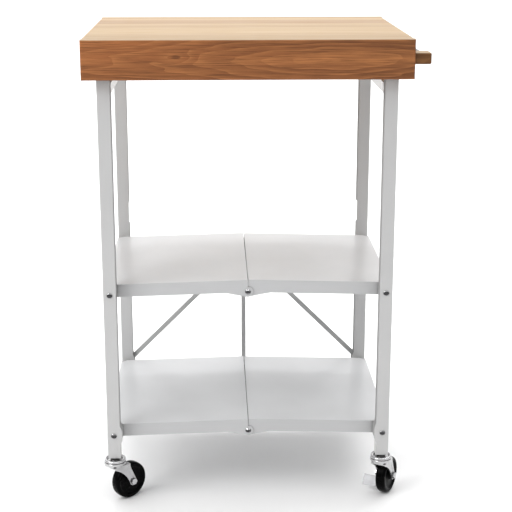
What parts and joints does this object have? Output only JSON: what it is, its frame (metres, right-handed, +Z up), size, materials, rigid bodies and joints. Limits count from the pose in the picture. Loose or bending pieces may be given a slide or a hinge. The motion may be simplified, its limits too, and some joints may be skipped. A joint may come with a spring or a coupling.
{
  "type": "folding kitchen trolley",
  "caption": "Folding kitchen trolley with a thick butcher block top and end towel rail, white channel legs, hinged sheet shelves that fold up at the middle, a sliding rear brace, and casters.",
  "frame": {"origin": "on the floor below the middle of the whole object's box, which the towel rail shifts 15.25 mm right of the frame's middle", "axes": "+Z up, -Y is the front, +X is the end with the towel rail"},
  "size_m": [0.6406, 0.508, 0.928],
  "materials": {
    "top_wood": "oiled edge-glued staves",
    "apron_wood": "satin oiled board",
    "batten_wood": "plain sawn",
    "post_wood": "satin oiled",
    "black_paint": "satin black",
    "screw_steel": "zinc plated",
    "white_paint": "gloss white powder coat",
    "shelf_paint": "gloss white powder coat",
    "brace_paint": "gloss white powder coat",
    "white_plastic": "moulded, matte",
    "rivet_chrome": "polished",
    "rivet_steel": "plain",
    "caster_chrome": "bright zinc",
    "axle_steel": "bright zinc",
    "brake_steel": "bright zinc",
    "wheel_black": "hard black, semi-gloss"
  },
  "bodies": {
    "left_frame": {"front_left_leg": "white_paint", "rear_left_leg": "white_paint", "left_top_rail": "white_paint", "left_rail_rivets": "rivet_steel", "left_leg_plugs": "white_plastic", "left_stem_sockets": "white_plastic", "upper_left_hinge_rod": "rivet_chrome", "lower_left_hinge_rod": "rivet_chrome", "left_hinge_spacers": "white_plastic", "front_left_stem": "caster_chrome", "rear_left_stem": "caster_chrome"},
    "right_frame": {"front_right_leg": "white_paint", "rear_right_leg": "white_paint", "right_top_rail": "white_paint", "right_rail_rivets": "rivet_steel", "right_leg_plugs": "white_plastic", "right_stem_sockets": "white_plastic", "upper_right_hinge_rod": "rivet_chrome", "lower_right_hinge_rod": "rivet_chrome", "right_hinge_spacers": "white_plastic", "front_right_stem": "caster_chrome", "rear_right_stem": "caster_chrome"},
    "wooden_top": {"top_panel": "top_wood", "front_apron": "apron_wood", "rear_apron": "apron_wood", "left_apron": "apron_wood", "right_apron": "apron_wood", "left_batten": "batten_wood", "right_batten": "batten_wood", "batten_screws": "screw_steel", "front_rail_post": "post_wood", "rear_rail_post": "post_wood", "towel_rod": "black_paint", "post_screws": "screw_steel"},
    "upper_left_half": {"upper_left_shelf": "shelf_paint", "upper_centre_rod": "rivet_chrome"},
    "upper_right_half": {"upper_right_shelf": "shelf_paint"},
    "lower_left_half": {"lower_left_shelf": "shelf_paint", "lower_centre_rod": "rivet_chrome"},
    "lower_right_half": {"lower_right_shelf": "shelf_paint"},
    "rear_bar": {"centre_bar": "brace_paint"},
    "slider": {"brace_slider": "white_plastic"},
    "left_brace": {"left_brace": "brace_paint"},
    "right_brace": {"right_brace": "brace_paint", "brace_rivet": "rivet_steel"},
    "front_left_caster": {"front_left_fork": "caster_chrome", "front_left_axle": "axle_steel"},
    "front_left_roller": {"front_left_wheel": "wheel_black"},
    "front_right_caster": {"front_right_fork": "caster_chrome", "front_right_axle": "axle_steel"},
    "front_right_roller": {"front_right_wheel": "wheel_black"},
    "front_right_lock": {"front_right_brake": "brake_steel"},
    "rear_left_caster": {"rear_left_fork": "caster_chrome", "rear_left_axle": "axle_steel"},
    "rear_left_roller": {"rear_left_wheel": "wheel_black"},
    "rear_right_caster": {"rear_right_fork": "caster_chrome", "rear_right_axle": "axle_steel"},
    "rear_right_roller": {"rear_right_wheel": "wheel_black"}
  },
  "joints": [
    {"name": "fold", "type": "hinge", "parent": "left_frame", "child": "upper_left_half", "pos_m": [-0.28275, 0, 0.4375], "axis": [0, -1, 0], "range_deg": [0, 80]},
    {"name": "upper_seam_hinge", "type": "hinge", "parent": "upper_left_half", "child": "upper_right_half", "pos_m": [-0.01525, 0, 0.4348], "axis": [0, -1, 0], "range_deg": [-160, 0]},
    {"name": "upper_right_hinge", "type": "hinge", "parent": "upper_right_half", "child": "right_frame", "pos_m": [0.25225, 0, 0.4375], "axis": [0, -1, 0], "range_deg": [0, 80]},
    {"name": "lower_left_hinge", "type": "hinge", "parent": "left_frame", "child": "lower_left_half", "pos_m": [-0.28275, 0, 0.146], "axis": [0, -1, 0], "range_deg": [0, 80]},
    {"name": "lower_seam_hinge", "type": "hinge", "parent": "lower_left_half", "child": "lower_right_half", "pos_m": [-0.01525, 0, 0.1433], "axis": [0, -1, 0], "range_deg": [-160, 0]},
    {"name": "rear_bar_hinge", "type": "hinge", "parent": "upper_left_half", "child": "rear_bar", "pos_m": [-0.01525, 0.205, 0.4348], "axis": [0, -1, 0], "range_deg": [-80, 0]},
    {"name": "slider_slide", "type": "slide", "parent": "rear_bar", "child": "slider", "axis": [0, 0, 1], "range_m": [-0.1582, 0]},
    {"name": "left_brace_hinge", "type": "hinge", "parent": "left_frame", "child": "left_brace", "pos_m": [-0.28275, 0.21, 0.146], "axis": [0, -1, 0], "range_deg": [0, 37.67]},
    {"name": "right_brace_hinge", "type": "hinge", "parent": "right_frame", "child": "right_brace", "pos_m": [0.25225, 0.21, 0.146], "axis": [0, -1, 0], "range_deg": [-37.67, 0]},
    {"name": "top_lift", "type": "slide", "parent": "left_frame", "child": "wooden_top", "axis": [0, 0, 1], "range_m": [0, 0.12]},
    {"name": "front_left_swivel", "type": "hinge", "parent": "left_frame", "child": "front_left_caster", "pos_m": [-0.28275, -0.2115, 0.084], "axis": [0, 0, 1], "continuous": true},
    {"name": "front_left_roll", "type": "hinge", "parent": "front_left_caster", "child": "front_left_roller", "pos_m": [-0.25823, -0.18942, 0.0375], "axis": [-0.6691, 0.7431, 0], "continuous": true},
    {"name": "front_right_swivel", "type": "hinge", "parent": "right_frame", "child": "front_right_caster", "pos_m": [0.25225, -0.2115, 0.084], "axis": [0, 0, 1], "continuous": true},
    {"name": "front_right_roll", "type": "hinge", "parent": "front_right_caster", "child": "front_right_roller", "pos_m": [0.26825, -0.18264, 0.0375], "axis": [-0.8746, 0.4848, 0], "continuous": true},
    {"name": "front_right_brake_press", "type": "hinge", "parent": "front_right_caster", "child": "front_right_lock", "pos_m": [0.26825, -0.18264, 0.0375], "axis": [-0.8746, 0.4848, 0], "range_deg": [-15, 0]},
    {"name": "rear_left_swivel", "type": "hinge", "parent": "left_frame", "child": "rear_left_caster", "pos_m": [-0.28275, 0.2115, 0.084], "axis": [0, 0, 1], "continuous": true},
    {"name": "rear_left_roll", "type": "hinge", "parent": "rear_left_caster", "child": "rear_left_roller", "pos_m": [-0.26625, 0.18292, 0.0375], "axis": [0.866, 0.5, 0], "continuous": true},
    {"name": "rear_right_swivel", "type": "hinge", "parent": "right_frame", "child": "rear_right_caster", "pos_m": [0.25225, 0.2115, 0.084], "axis": [0, 0, 1], "continuous": true},
    {"name": "rear_right_roll", "type": "hinge", "parent": "rear_right_caster", "child": "rear_right_roller", "pos_m": [0.26079, 0.17962, 0.0375], "axis": [0.9659, 0.2588, 0], "continuous": true}
  ],
  "couplings": [
    {"joint": "upper_seam_hinge", "follows": "fold", "ratio": -2},
    {"joint": "upper_right_hinge", "follows": "fold", "ratio": 1},
    {"joint": "lower_left_hinge", "follows": "fold", "ratio": 1},
    {"joint": "lower_seam_hinge", "follows": "fold", "ratio": -2},
    {"joint": "rear_bar_hinge", "follows": "fold", "ratio": -1},
    {"joint": "slider_slide", "follows": "fold", "m_per_rad": -0.11297},
    {"joint": "left_brace_hinge", "follows": "fold", "ratio": 0.47059},
    {"joint": "right_brace_hinge", "follows": "fold", "ratio": -0.47059}
  ]
}
